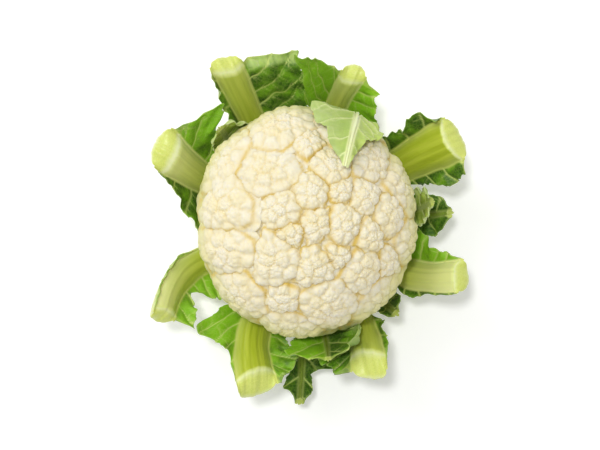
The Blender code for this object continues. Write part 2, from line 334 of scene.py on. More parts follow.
def growFloret(name, number, material, balls):
    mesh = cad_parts[name].data
    mesh.calc_loop_triangles()
    corners = np.array([tuple(vert.co) for vert in mesh.vertices]) / mm
    triangles = np.array([tuple(tri.vertices) for tri in mesh.loop_triangles])
    head = np.array(curd["head"], float)
    aim = unit(corners.mean(axis=0) - head)
    along = (corners - head) @ aim
    middle = head + aim * (0.35 * along.min() + 0.65 * along.max())
    across = unit(np.cross(aim, (0.3, 0.8, 0.1)))
    axes = np.array((across, np.cross(aim, across), aim))

    ballPoints, faces = balls["coarse" if number > curd["florets"] - curd["hidden"] else "fine"]
    polar = np.arccos(np.clip(ballPoints[:, 2], -1, 1))
    bent = np.pi * (polar / np.pi) ** curd["crownDetail"]
    level = unit(np.column_stack((ballPoints[:, :2], np.zeros(len(ballPoints)))))
    directions = (level * np.sin(bent)[:, None] + np.outer(np.cos(bent), (0, 0, 1))) @ axes
    rng = np.random.default_rng(100 + number)
    sides = floretSides(corners, triangles, head)
    points, toSide = floretBody(directions, head, middle, aim, np.ptp(along), sides, rng)

    creaseShade = np.zeros(len(points))
    size = math.sqrt(np.ptp(corners @ axes[0]) * np.ptp(corners @ axes[1]))
    edge = eased(bent, 0.25, 1.0)
    for rank, (atCrown, atEdge, height, uneven, softness, creaseShadeTint) in enumerate(curd["levels"]):
        spacing = atCrown + (atEdge - atCrown) * edge
        if rank < 2:  # small florets have small lobes
            spacing = spacing * (0.72 + 0.28 * min(size / 38, 1.15))
        toRim, raised = pebbles(points, spacing, uneven, rng)
        depth = (1 - np.sqrt(1 - (1 - toRim) ** 2)) * height * spacing - raised
        for _ in range(softness):
            depth = levelled(depth, faces)
        skin = vertexNormals(points, faces)
        points = points - skin * (depth * (0.25 + 0.75 * eased(skin @ aim, 0, 0.6)))[:, None]
        # painted shade gathers in the creases between the pebbles
        creaseShade += levelled(eased(1 - toRim, 0.6, 1.0), faces) * creaseShadeTint
    # Painted shade: the colour deepens to ochre inside the dome, and in an uneven line where florets meet.
    inside = np.linalg.norm((points - head) / np.array(curd["dome"]), axis=1)
    patchy = 0.75 + 0.35 * waves(points @ axes[0] + 0.7 * (points @ axes[1]), 26, number)
    meetingShade = np.clip(patchy, 0.2, 1) * np.exp(-(toSide / curd["meetingShade"]) ** 2)
    greenTop, greenDepth = curd["turnsGreen"]
    fields = {"creaseShade": creaseShade, "creviceShade": np.maximum(0.3 * eased(1 - inside, 0.13, 0.27), meetingShade),
              "low": eased(greenTop - points[:, 2], 0, greenDepth)}
    piece = addPiece(f"{name}_curd", points, faces.tolist(), material, fields,
                     crownMap(ballPoints, faces))
    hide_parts(name)


def growCurd():
    material = curdMaterial()
    balls = {"coarse": ball(5), "fine": ball(6)}
    for number in range(1, curd["florets"] + 1):
        growFloret(f"floret_{number:02d}", number, material, balls)
    print("curd:", curd["florets"], "florets grown")


# Leaves: a thick rib between two blades, with veins, frills and a cut end.

leafLook = {
    "fine": 1.0,  # size of the mesh's cells
    "bladeThick": 0.9,
    "ribBulge": 0.22,  # how far the rib's inner face rises, as a share of its breadth
    "ribEdge": 0.35,  # how much paler the rib's two edges are
    "rootGap": 1.8,  # between the stalk and the solid's rib
    "rootInside": 5.0,  # how far the grown rib reaches back from there, into the stalk
    "veinGap": 17.0,
    "veinWide": 0.7,
    "pucker": 1.1,  # how far the blade rises between the veins
    "jag": 3.8,
    "frill": 2.8,
    "fold": 1.8,
    "capSteps": (0.06, 0.16, 0.3, 0.5, 0.75, 1.0),  # rows from a cut's rim to its middle
    "rimSteps": (0.3, 0.7, 0.3, 0, 0, 0),  # how pale each of those rows is: the cut's pale rim, partly its skin and partly a painted highlight
}
stalkRadius = 25.5

# These repeat the solids' design: the rib's curve from the stalk as (out, to the left, up),
# then turned about the stalk. A blade's edge gives its width at shares of the rib's length.
# Looks of a rib: how wan its outer half is and on which side, how far its cap swells, how the
# cut slants inwards and to the side, how slim and bulging it is, and how much rib and rim (partly a painted
# highlight) show.
# Looks of a blade: its tone from dark to bright, partly its own green and partly painted shade and
# painted light, how deep and wide its jags and teeth are, its frill and the pitch of it, where its
# margin is pale or rolls over, a hem folded back at the rib's end, and extra width over its solid's.
leaves = {
    "outer_leaf_1": dict(
        wan=0.15, cap=0.8, slant=(6, -3),
        turn=117, root=15, rib=((74, 0, 10), (88, 0, 40), (126, 0, 84)), wide=(15, 21), thick=(12, 10),
        left=dict(lift=45, curl=20, sweep=0, edge=((0.4, 0), (0.62, 15), (0.85, 9), (1, 7)),
                  toneAndShade=0.1, jag=1.5),
        right=dict(lift=10, curl=8, sweep=-18, edge=((0.4, 0), (0.6, 34), (0.8, 41), (1, 40)),
                   toneAndShade=0.12, hem=0.9, frillPitch=30, extra=2),
    ),
    "outer_leaf_2": dict(
        wan=0.4, cap=0.5, slant=(9, 2),
        turn=76, root=27, rib=((74, 2, 22), (92, 2, 46), (112, -8, 84)), wide=(13, 17), thick=(11, 9),
        left=dict(lift=22, curl=5, sweep=40, edge=((0.45, 0), (0.62, 21), (0.8, 32), (0.95, 54), (1, 40)),
                  toneAndShade=0.95, jag=2, frill=0.6, extra=6),
        right=dict(lift=24, curl=5, sweep=-5, edge=((0.42, 0), (0.58, 29), (0.7, 33), (0.85, 26), (1, 15)),
                   toneAndShade=0.42, frill=1.3),
    ),
    "outer_leaf_3": dict(
        wan=0, cap=0.3, slant=(3, 0),
        turn=30, root=15, rib=((72, 3, 10), (88, 4, 38), (124, -2, 78)), wide=(17, 33), thick=(12, 10),
        left=dict(lift=30, curl=20, sweep=0, edge=((0.4, 0), (0.6, 18), (0.75, 12), (0.9, 17), (1, 6)),
                  toneAndShade=0.1, jag=2, frill=1.4, frillPitch=18),
        right=dict(lift=12, curl=0, sweep=0, edge=((0.5, 0), (0.7, 8), (0.9, 15), (1, 12)),
                   toneAndShade=0.1, pale=0.7, jag=3.5),
    ),
    "outer_leaf_4": dict(
        wan=0.8, cap=0.3, slant=(3, 0),
        turn=-23, root=27, rib=((74, -5, 22), (90, -10, 46), (119, 7, 80)), wide=(14, 24), thick=(11, 10),
        left=dict(lift=32, curl=5, sweep=-5, edge=((0.38, 0), (0.55, 36), (0.7, 24), (0.9, 8), (1, 2)),
                  toneAndShade=0.45, pale=0.8, frill=1.2),
        right=dict(lift=20, curl=0, sweep=0, edge=((0.45, 0), (0.65, 6), (0.9, 3), (1, 2)),
                   toneAndShade=0.1),
    ),
    "outer_leaf_5": dict(
        wan=0.15, cap=0.4, slant=(17, -4),
        turn=-63, root=27, rib=((74, 4, 22), (88, 8, 46), (117, -8, 84)), wide=(13, 25), thick=(11, 10),
        left=dict(lift=30, curl=10, sweep=0, edge=((0.55, 0), (0.72, 9), (0.86, 6), (1, 1)),
                  toneAndShade=0.2, jag=3.5, tooth=6),
        right=dict(lift=5, curl=0, sweep=0, edge=((0.42, 0), (0.6, 24), (0.8, 26), (1, 14)),
                   toneAndShade=0.1, jag=3.5),
    ),
    "outer_leaf_6": dict(
        wan=0, cap=0.35, slant=(13, 4),
        turn=-110, root=27, rib=((74, -6, 22), (90, -20, 46), (125, 9, 84)), wide=(14, 30), thick=(11, 10),
        left=dict(lift=15, curl=0, sweep=0, edge=((0.45, 0), (0.65, 14), (0.82, 20), (0.92, 14), (1, 4)),
                  toneAndShade=0.3, pale=0.6),
        right=dict(lift=8, curl=0, sweep=22,
                   edge=((0.4, 0), (0.52, 22), (0.64, 33), (0.74, 14), (0.84, 3), (1, 1)),
                   toneAndShade=0.4, jag=3.6, tooth=12, pale=0.5),
    ),
    "outer_leaf_7": dict(
        wan=0.5, wanSide=-1, cap=0.6, slant=(5, 4),
        turn=-155, root=15, rib=((72, -5, 10), (98, -22, 34), (122, 18, 80)), wide=(19, 20), thick=(12, 9),
        left=dict(lift=25, curl=10, sweep=0,
                  edge=((0.4, 0), (0.56, 25), (0.68, 22), (0.77, 4), (0.86, 13), (1, 15)),
                  toneAndShade=0.4, jag=3, pale=0.6),
        right=dict(lift=50, curl=0, sweep=0, edge=((0.5, 0), (0.7, 4), (0.9, 3), (1, 2)),
                   toneAndShade=0.9, pale=1, paleFrom=-0.6, jag=1),
    ),
    "outer_leaf_8": dict(
        wan=0.65, cap=0.6, slant=(12, 3), rimShown=1.8,
        turn=155, root=27, rib=((74, 3, 22), (88, 4, 46), (115, -4, 86)), wide=(14, 28), thick=(11, 10),
        left=dict(lift=25, curl=10, sweep=-15, edge=((0.38, 0), (0.56, 42), (0.7, 24), (0.9, 6), (1, 1)),
                  toneAndShade=0.12, jag=4, tooth=8, pale=0.4),
        right=dict(lift=20, curl=5, sweep=0,
                   edge=((0.4, 0), (0.58, 19), (0.82, 25), (0.93, 42), (0.98, 14), (1, 4)),
                   toneAndShade=0.3, jag=3.5, tooth=11),
    ),
    "middle_leaf_1": dict(
        ribShown=0.35, slim=0.7,
        turn=4, root=15, rib=((68, 0, 10), (86, 0, 36), (110, 0, 56)), wide=(9, 4), thick=(8, 3),
        left=dict(lift=12, curl=5, sweep=0, edge=((0.5, 0), (0.7, 16), (0.9, 14), (1, 3)),
                  toneAndShade=0),
        right=dict(lift=12, curl=5, sweep=0, edge=((0.5, 0), (0.7, 16), (0.9, 14), (1, 3)),
                   toneAndShade=0),
    ),
    "middle_leaf_2": dict(
        ribShown=0.35, slim=0.7,
        turn=-45, root=15, rib=((68, 0, 10), (84, 0, 34), (96, 0, 58)), wide=(9, 4), thick=(8, 3),
        left=dict(lift=14, curl=5, sweep=10, edge=((0.55, 0), (0.75, 12), (0.9, 11), (1, 3)),
                  toneAndShade=0.05),
        right=dict(lift=20, curl=10, sweep=0, edge=((0.6, 0), (0.78, 9), (0.9, 9), (1, 3)),
                   toneAndShade=0.05),
    ),
    "middle_leaf_3": dict(
        ribShown=0.35, slim=0.7,
        turn=-91, root=15, rib=((72, 0, 11), (106, 0, 18), (136, -2, 38)), wide=(9, 4), thick=(8, 3),
        left=dict(lift=12, curl=5, sweep=15,
                  edge=((0.45, 0), (0.6, 20), (0.68, 24), (0.75, 8), (0.88, 8), (1, 2)),
                  toneAndShade=0),
        right=dict(lift=12, curl=5, sweep=10, edge=((0.45, 0), (0.7, 6), (0.86, 12), (1, 2)),
                   toneAndShade=0),
    ),
    "inner_leaf_1": dict(
        bulge=0.03, slim=0.55,
        turn=62, root=41, rib=((98, 4, 22), (100, 6, 98), (78, 2, 130), (43, -8, 137)), wide=(8, 4),
        thick=(5, 2), young=1,
        left=dict(lift=0, curl=14, sweep=0, edge=((0.35, 0), (0.52, 24), (0.7, 32), (0.86, 15), (1, 1)),
                  toneAndShade=0.15, pale=0.6, paleFrom=0.1, jag=1, frill=1.5),
        right=dict(lift=0, curl=14, sweep=0, edge=((0.35, 0), (0.52, 22), (0.68, 21), (0.84, 8), (1, 1)),
                   toneAndShade=0.5, pale=0.2, jag=1, frill=1.6),
    ),
    "inner_leaf_2": dict(
        bulge=0.1, slim=0.6, ribShown=0.3,
        turn=133, root=41, rib=((82, 0, 28), (88, 0, 62), (91, 0, 90)), wide=(8, 4), thick=(5, 2),
        young=0.6,
        left=dict(lift=5, curl=10, sweep=0, edge=((0.55, 0), (0.78, 14), (0.95, 10), (1, 3)),
                  toneAndShade=0.1, pale=1, paleFrom=0.7, roll=(0.7, 70), jag=2),
        right=dict(lift=5, curl=10, sweep=0, edge=((0.5, 0), (0.75, 20), (0.95, 14), (1, 4)),
                   toneAndShade=0.1, pale=1, paleFrom=0.7, roll=(0.7, 70), jag=3),
    ),
    "inner_leaf_3": dict(
        bulge=0.1, slim=0.5, ribShown=0.4,
        turn=-82, root=41, rib=((82, 2, 28), (92, 4, 62), (102, 2, 86)), wide=(8, 4), thick=(5, 2),
        young=0.4,
        left=dict(lift=12, curl=25, sweep=0, edge=((0.45, 0), (0.65, 24), (0.88, 34), (1, 20)),
                  toneAndShade=0.1, pale=1, paleFrom=0.74, roll=(0.72, 90), frill=1.3, frillPitch=11, tooth=6),
        right=dict(lift=8, curl=10, sweep=0, edge=((0.45, 0), (0.65, 20), (0.9, 26), (1, 18)),
                   toneAndShade=0.9, frill=0.8, extra=4),
    ),
    "inner_leaf_4": dict(
        bulge=0.1, slim=0.6, ribShown=0.3,
        turn=6, root=41, rib=((82, 0, 28), (87, 0, 62), (93, 4, 90)), wide=(7, 3), thick=(5, 2),
        young=0.8,
        left=dict(lift=5, curl=10, sweep=0, edge=((0.55, 0), (0.8, 14), (0.95, 11), (1, 4)),
                  toneAndShade=0.2, pale=1, paleFrom=0.6, roll=(0.6, 60), frillPitch=10),
        right=dict(lift=5, curl=10, sweep=0, edge=((0.5, 0), (0.75, 16), (0.92, 10), (1, 2)),
                   toneAndShade=0.2, pale=1, paleFrom=0.6, roll=(0.6, 60), frillPitch=10),
    ),
}


def leafMaterial(name, colours):
    board = Board(name, {"Subsurface Weight": 0.15, "Subsurface Scale": 0.002,
                         "Subsurface Radius": (0.7, 1.0, 0.2), "Specular IOR Level": 0.28})
    flat = board.field("flat", "Vector")
    rib, vein, cut, pale, toneAndShade, under = (
        board.field(kind) for kind in ("rib", "vein", "cut", "pale", "toneAndShade", "under"))
    stretched = board.node("VectorMath", {"operation": "MULTIPLY"}, {0: flat, 1: (1.0, 0.05, 1.0)})
    stripes = board.noise(stretched, 0.28, 2)
    fineStripes = board.noise(stretched, 1.6, 3)
    patches = board.noise(flat, 0.075, 3)
    mottle = board.noise(flat, 0.8, 4)
    net = board.node("TexVoronoi", {"feature": "DISTANCE_TO_EDGE"}, {"Vector": flat, "Scale": 0.32},
                     "Distance")
    netLine = 1 - board.between(net, 0.0, 0.08)
    # Painted shade and light: each blade's tone and the broad patches move it between the dark green and
    # the green lit through the leaf, standing for shade in folds and light shining through, on top of the
    # green's own variation.
    blade = board.blend(board.between(patches + toneAndShade, 0.48, 0.92), colours["dark"], colours["brightLit"])
    blade = board.blend(board.between(mottle, 0.35, 0.75) * 0.25, blade, colours["brightLit"])
    blade = board.blend(netLine * 0.14, blade, colours["vein"])
    blade = board.blend(under * 0.55, blade, colours["under"])
    blade = board.blend(pale, blade, colours["pale"])
    ribColour = board.blend(board.between(stripes, 0.2, 0.85), colours["rib"], colours["ribPale"])
    ribColour = board.blend(board.between(fineStripes, 0.5, 0.8) * 0.1, ribColour, colours["ribDeep"])
    ribColour = board.blend(board.field("wan"), ribColour, colours["wan"])
    colour = board.blend(rib, blade, ribColour)
    colour = board.blend(vein, colour, colours["vein"])
    cutColour = board.blend(board.between(mottle, 0.35, 0.7) * 0.4, colours["cut"], colours["cutDeep"])
    colour = board.blend(cut, colour, cutColour)
    # Painted highlight: the pale rim round the cut is partly the skin's edge and partly a shine.
    colour = board.blend(board.field("rim"), colour, colours["rim"])
    height = mottle * 0.3 + netLine * (1 - rib) * -0.3 + fineStripes * (rib - cut) * 0.12
    roughness = board.between(mottle + rib * -0.5, -0.2, 0.9, 0.3, 0.5)
    return board.finish(colour, roughness, height, 0.0004, 0.6)


green = {
    "dark": shade(50, 84, 20),
    # bright: green lit through the leaf, painted light
    "brightLit": shade(128, 180, 32),
    "under": shade(136, 160, 92),
    "pale": shade(176, 198, 110),
    "rib": shade(160, 176, 38),
    "ribPale": shade(188, 200, 70),
    "ribDeep": shade(128, 148, 28),
    "wan": shade(224, 228, 156),
    "vein": shade(196, 210, 120),
    "cut": shade(212, 220, 118),
    "cutDeep": shade(182, 198, 78),
    # the cut's rim: partly pale skin, partly painted highlight
    "rim": shade(228, 233, 180),
}
young = dict(green, dark=shade(138, 168, 60), brightLit=shade(190, 208, 96), rib=shade(220, 228, 170),
             ribPale=shade(232, 237, 192), ribDeep=shade(180, 198, 104), vein=shade(222, 230, 164),
             under=shade(170, 192, 106), pale=shade(192, 206, 146))


def onCurve(points, shares):
    points = np.repeat(np.array(points, float)[:, None], len(shares), axis=1)
    while len(points) > 1:
        points = points[:-1] + (points[1:] - points[:-1]) * shares[:, None]
    return points[0]


def edgeWidth(edge, shares):
    width = np.zeros(len(shares))
    for (start, low), (end, high) in zip(edge, edge[1:]):
        here = (shares >= start) & (shares <= end)
        width[here] = low + (high - low) * eased(shares[here], start, end)
    return width


def teeth(length, size, seed):
    # a ragged margin: broad bites and small points, from -1 to 1
    rng = np.random.default_rng(seed)
    total = np.zeros(len(length))
    for pitch, weight in ((size * 3.1, 0.9), (size * 1.1, 0.8), (size * 0.45, 0.4)):
        phase = length / pitch + rng.random() + 0.35 * waves(length, pitch * 2.3, seed + 7)
        step = np.floor(phase).astype(int)
        heights = rng.uniform(0.3, 1, step.max() - step.min() + 2)[step - step.min()]
        share = phase - step
        total += weight * heights * (np.minimum(share / 0.7, (1 - share) / 0.3) - 0.5)
    return total


def bladeVeins(length, wide, farthest, rng):
    # Veins that leave the rib at a slant, with side veins, and how far each point is from one.
    along = length[:, None] + np.zeros_like(wide)
    vein, gap = np.zeros_like(wide), np.full_like(wide, 99.0)
    base = length[-1] * 0.3
    while base < length[-1] + 12:
        slant, bend = rng.uniform(0.35, 0.7), rng.uniform(0.004, 0.012)
        track = base + slant * wide + bend * wide ** 2 + 1.8 * waves(wide, 26, int(base * 7))
        apart = np.abs(along - track) / math.sqrt(1 + slant ** 2)
        thick = leafLook["veinWide"] * rng.uniform(0.6, 1.15) * np.clip(1.25 - wide / 46, 0.35, 1)
        vein = np.maximum(vein, np.exp(-(apart / thick) ** 2))
        gap = np.minimum(gap, apart)
        for branch in np.arange(rng.uniform(3, 9), farthest, rng.uniform(6, 9)):
            for way in (-1, 1):
                reachOut, steep = rng.uniform(4, 12), rng.uniform(0.3, 1.6) * way
                past = wide - branch - rng.uniform(-2, 2)
                start = base + slant * branch + bend * branch ** 2
                line = start + steep * past + 0.6 * waves(wide, 7, int(base * 3 + branch))
                fade = np.clip(1 - past / reachOut, 0, 1) * (past > 0)
                off = np.abs(along - line) / math.sqrt(1 + steep ** 2)
                vein = np.maximum(vein, 0.6 * fade * np.exp(-(off / 0.4) ** 2))
        base += leafLook["veinGap"] * rng.uniform(0.75, 1.25)
    return vein, gap


def growBlade(side, sign, seed, shares, length, axes, reach):
    # One blade's offsets from the rib's edge, how far each point is from the rib, its veins
    # and its pale margin. Rows go along the rib and columns out to the margin.
    ahead, left, inward = axes
    width = edgeWidth(side["edge"], shares)
    width = width + side.get("extra", 0) * eased(width, 0, 10)
    jag = side.get("jag", leafLook["jag"]) * eased(width, 1, 10)
    ragged = width + jag * teeth(length, side.get("tooth", 9), seed)
    ragged = np.maximum(ragged, np.minimum(width, 0.4))
    sweep = math.radians(side["sweep"])
    out = sign * left * math.cos(sweep) + ahead * math.sin(sweep)
    wide = np.outer(width, reach) + np.outer(ragged - width, reach ** 5)
    angle = np.radians(side["lift"] + side["curl"] * reach)[None, :] + np.zeros((len(shares), 1))
    rollFrom, roll = side.get("roll", (0.8, 0))
    angle = angle + np.radians(roll) * eased(reach, rollFrom, 1)[None, :]
    step = np.diff(wide, axis=1, prepend=0)
    mid = (angle + np.roll(angle, 1, axis=1)) / 2
    mid[:, 0] = angle[:, 0]
    flatWay, upWay = np.cumsum(step * np.cos(mid), axis=1), np.cumsum(step * np.sin(mid), axis=1)
    offsets = out[:, None] * flatWay[..., None] + inward[:, None] * upWay[..., None]
    normal = inward[:, None] * np.cos(angle)[..., None] - out[:, None] * np.sin(angle)[..., None]

    vein, gap = bladeVeins(length, wide, width.max(), np.random.default_rng(seed + 3))
    ripple = leafLook["frill"] * side.get("frill", 1) * eased(reach, 0.25, 1.1)[None, :]
    ripple = ripple * waves(length[:, None] - 0.4 * wide, side.get("frillPitch", 22), seed + 11)
    folds = waves(wide + 0.5 * length[:, None], 34, seed + 17, 2)
    ripple = ripple + leafLook["fold"] * eased(wide, 2, 22) * folds
    puff = leafLook["pucker"] * eased(gap, 0, 5) * eased(wide, 1, 6)
    lift = (ripple + puff - 0.25 * vein) * eased(width, 0, 6)[:, None]
    offsets = offsets + normal * lift[..., None]
    pale = eased(reach, side.get("paleFrom", 0.93), 1)[None, :] * side.get("pale", 0.35)
    pale = pale * (0.7 + 0.3 * waves(length, 9, seed + 5))[:, None] + np.zeros_like(wide)
    # a pale hem folded back at the rib's end
    hem = side.get("hem", 0) * eased(length, length[-1] - 9, length[-1] - 3)[:, None] * eased(wide, 1, 6)
    pale = np.maximum(pale, hem * (0.75 + 0.25 * waves(wide, 7, seed + 6)))
    offsets = offsets - normal * (7 * hem * eased(length, length[-1] - 8, length[-1])[:, None])[..., None]
    return offsets, normal, wide, vein, np.clip(pale, 0, 1)


def ribCurve(leaf, fine):
    # The rib's middle line: shares of the way, places, lengths, and the ways ahead, left and inward.
    start = (stalkRadius + leafLook["rootGap"] - leafLook["rootInside"], 0, leaf["root"])
    rib = (start, *leaf["rib"])
    spread = np.linalg.norm(np.diff(onCurve(rib, np.linspace(0, 1, 60)), axis=0), axis=1).sum()
    shares = np.linspace(0, 1, int(spread / fine) + 1)
    place = onCurve(rib, shares)
    length = np.concatenate(((0,), np.cumsum(np.linalg.norm(np.diff(place, axis=0), axis=1))))
    ahead = unit(onCurve(rib, np.minimum(shares + 0.01, 1)) - onCurve(rib, np.maximum(shares - 0.01, 0)))
    left = unit(np.array((0.0, 1.0, 0.0)) - ahead * ahead[:, 1:2])
    return shares, place, length, (ahead, left, np.cross(ahead, left))


def growRib(leaf, number, curve, fine):
    # The rib's inner and outer skins, its breadth along the way, and each point's place across it.
    shares, place, length, (_, left, inward) = curve
    slim = leaf.get("slim", 1)
    (wideFrom, wideTo), (thickFrom, thickTo) = leaf["wide"], leaf["thick"]
    wide = (wideFrom + (wideTo - wideFrom) * shares) * slim
    wide = wide + 5 * (1 - eased(length, 0, 22)) + 0.05 * wideTo * waves(length, 55, number + 60)
    thick = (thickFrom + (thickTo - thickFrom) * shares) * slim
    across = np.linspace(1, -1, max(int(wideTo / fine), 6) + 1)
    halves = wide[:, None] / 2 * across
    bulge = leaf.get("bulge", leafLook["ribBulge"]) * wideTo
    swell = bulge * np.clip(1 - across ** 2, 0, 1) ** 0.8
    grooves = 0.5 * waves(across * wideTo, 8, number + 40) * (1 - across ** 2)
    upper = place[:, None] + left[:, None] * halves[..., None]
    upper = upper + inward[:, None] * (swell + grooves)[None, :, None]
    under = swell + thick[:, None] * np.sqrt(np.clip(1 - across ** 2, 0, 1)) ** 0.9
    lower = upper - inward[:, None] * (leafLook["bladeThick"] + under)[..., None]
    return upper, lower, wide, halves


def leafSheets(leaf, number, curve, fine):
    # The whole leaf as two sheets, rib between blades, with what its material reads at each point.
    shares, place, length, axes = curve
    upper, lower, wide, halves = growRib(leaf, number, curve, fine)
    blank = np.zeros_like(halves)
    shown = leaf.get("ribShown", 1)
    sheets = {"upper": [upper], "lower": [lower], "wide": [halves], "vein": [blank],
              "pale": [blank], "rib": [blank + shown], "toneAndShade": [blank]}
    for sideName, sign in (("left", 1), ("right", -1)):
        side = leaf[sideName]
        cells = max(int(max(width for _, width in side["edge"]) / fine), 4)
        reach = np.linspace(0, 1, cells + 1)[1:]
        offsets, normal, far, vein, pale = growBlade(
            side, sign, number * 31 + (sign > 0) * 13, shares, length, axes, reach)
        edge = (place + axes[1] * sign * (wide / 2)[:, None])[:, None]
        sheet = edge + offsets
        thin = leafLook["bladeThick"] * (1 - 0.6 * reach)[None, :, None]
        belly = np.exp(-(far / 2.0))[..., None] * 1.2 + (vein * 0.5)[..., None]
        parts = {"upper": sheet, "lower": sheet - normal * (thin + belly), "vein": vein, "pale": pale,
                 "wide": sign * (wide[:, None] / 2 + far), "rib": shown * (1 - eased(far, 0.3, 2.2)),
                 "toneAndShade": np.full_like(far, side.get("toneAndShade", 0.3))}
        for kind, values in parts.items():
            if sign > 0:
                sheets[kind].insert(0, values[:, ::-1])
            else:
                sheets[kind].append(values)
    return {kind: np.concatenate(values, axis=1) for kind, values in sheets.items()}, wide


def cutSlanting(points, fields, leaf, number, length, lean, ahead, half):
    # The knife went through at a slant, so the rib's inner face stops short of the outer one.
    beside = np.exp(-np.clip(np.abs(fields["wide"]) - half, 0, None) / 5)
    short, tilt = leaf.get("slant", (4, 0))
    upperSide = 1 - fields["under"]
    pull = (short * upperSide + tilt * lean + 0.7 * waves(lean * 3, 5, number + 80)) * beside
    pull = pull * eased(length, length[-1] - 28, length[-1])[:, None]
    return points - ahead[:, None] * pull[..., None]


def toMiddle(edgeRow, steps):
    middle = (edgeRow + edgeRow[::-1]) / 2
    return edgeRow + (middle - edgeRow) * steps[:, None, None]


def closed(points, fields, leaf, number, lean, ahead):
    # Both ends closed along their middle lines. The cut swells a little, where the flesh is softest.
    steps, rimSteps = np.array(leafLook["capSteps"]), np.array(leafLook["rimSteps"])
    ribEnd = fields["rib"][-1]
    swelling = np.sqrt(1 - (1 - steps) ** 2)[:, None] * ribEnd * leaf["thick"][1]
    swelling = swelling * (leaf.get("cap", 0.25) + 0.08 * waves(lean[-1] * 6, 5, number))[None, :]
    cap = toMiddle(points[-1], steps) + ahead[-1] * swelling[..., None]
    points = np.concatenate((toMiddle(points[0], steps)[::-1], points, cap))
    onCap = {"along": 14 * steps[:, None], "cut": 0.3 + 0.7 * ribEnd,
             "rim": leaf.get("rimShown", 1) * rimSteps[:, None] * ribEnd}
    for kind, values in fields.items():
        root, tip = (np.repeat(values[row][None], len(steps), axis=0) for row in (0, -1))
        fields[kind] = np.concatenate((root, values, tip + onCap.get(kind, 0)))
    return points


def tubeCells(rows, across):
    # Quads round the tube, whose end rows meet along a line, and their places on the flat map.
    index = np.arange(rows * across).reshape(rows, across)
    for row in (0, rows - 1):
        index[row, across // 2:] = index[row, :across // 2][::-1]
    after = np.roll(index, -1, axis=1)
    quads = np.stack((index[:-1], after[:-1], after[1:], index[1:]), axis=-1).reshape(-1, 4)
    u = np.arange(across + 1) / across * 0.98 + 0.01
    v = np.arange(rows) / (rows - 1) * 0.98 + 0.01
    spots = np.stack(np.meshgrid(u, v), axis=-1)
    corners = (spots[:-1, :-1], spots[:-1, 1:], spots[1:, 1:], spots[1:, :-1])
    return quads, np.stack(corners, axis=2).reshape(-1, 4, 2)


def growLeaf(name, leaf, number, materials):
    fine = leafLook["fine"] * 1
    curve = ribCurve(leaf, fine)
    shares, _, length, (ahead, _, _) = curve
    sheets, wide = leafSheets(leaf, number, curve, fine)

    # The two sheets are one tube, down the upper one and back along the lower one.
    points = np.concatenate((sheets["upper"], sheets["lower"][:, ::-1]), axis=1)
    fields = {kind: np.concatenate((sheets[kind], sheets[kind][:, ::-1]), axis=1)
              for kind in ("vein", "pale", "rib", "wide", "toneAndShade")}
    blank = np.zeros_like(fields["vein"])
    columns = sheets["vein"].shape[1]
    half = wide[:, None] / 2
    lean = np.clip(fields["wide"] / half, -1, 1)
    wan = (leaf.get("wan", 0.2) * eased(shares, 0.45, 1))[:, None] * (1 + leaf.get("wanSide", 0) * lean)
    fields.update(cut=blank, rim=blank, under=blank + np.repeat((0.0, 1.0), columns),
                  along=np.repeat(length[:, None], 2 * columns, axis=1),
                  wan=np.clip(wan + leafLook["ribEdge"] * lean ** 6, 0, 1))
    points = cutSlanting(points, fields, leaf, number, length, lean, ahead, half)
    points = closed(points, fields, leaf, number, lean, ahead)

    quads, corners = tubeCells(len(points), 2 * columns)
    used = np.unique(quads)
    renumber = np.full(quads.max() + 1, -1)
    renumber[used] = np.arange(len(used))
    faces, uvs = [], []
    for quad, spot in zip(renumber[quads].tolist(), corners):
        keep = [k for k in range(4) if quad[k] not in quad[:k]]
        if len(keep) > 2:  # along the closing lines a quad has only three different corners
            faces.append([quad[k] for k in keep])
            uvs.extend(spot[k] for k in keep)
    kept = {kind: values.reshape(-1)[used] for kind, values in fields.items()}
    kept["flat"] = np.column_stack((kept.pop("wide"), kept.pop("along"), np.full(len(used), number * 37.0)))
    material = materials["young" if leaf.get("young", 0) > 0.5 else "green"]
    piece = addPiece(f"{name}_grown", turned(points.reshape(-1, 3)[used], leaf["turn"]), faces, material,
                     kept, np.array(uvs))
    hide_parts(name)


def growLeaves():
    materials = {"green": leafMaterial("leafGreen", green), "young": leafMaterial("leafYoung", young)}
    for number, (name, leaf) in enumerate(leaves.items()):
        growLeaf(name, leaf, number + 1, materials)
    print("leaves:", len(leaves), "grown")


# Stalk: a squat post with leaf scars, cut square at the foot.

stalkLook = {
    "foot": 24.0,  # the cut face's radius
    "ringRadius": 18.5,
    "scars": ((12, 8), (24, 8), (38, 5), (52, 6)),  # height and how many round the stalk
    "bark": shade(190, 202, 132),
    "barkPale": shade(216, 222, 170),
    "flesh": shade(236, 236, 206),
    "ring": shade(206, 212, 150),
}


def stalkMaterial():
    board = Board("stalk", {"Subsurface Weight": 0.15, "Subsurface Scale": 0.003, "Roughness": 0.5})
    place = board.node("TexCoord", {}, {}, "Object")
    tall = board.node("VectorMath", {"operation": "MULTIPLY"}, {0: place, 1: (1.0, 1.0, 0.15)})
    grain, spots = board.noise(tall, 260, 4), board.noise(place, 420, 3)
    cut, ring = board.field("cut"), board.field("ring")
    bark = board.blend(board.between(grain, 0.35, 0.7), stalkLook["bark"], stalkLook["barkPale"])
    flesh = board.blend(ring, stalkLook["flesh"], stalkLook["ring"])
    flesh = board.blend(board.between(spots, 0.55, 0.8) * 0.4, flesh, stalkLook["ring"])
    return board.finish(board.blend(cut, bark, flesh), None, grain * (1 - cut) + spots * 0.5, 0.0005, 0.6)


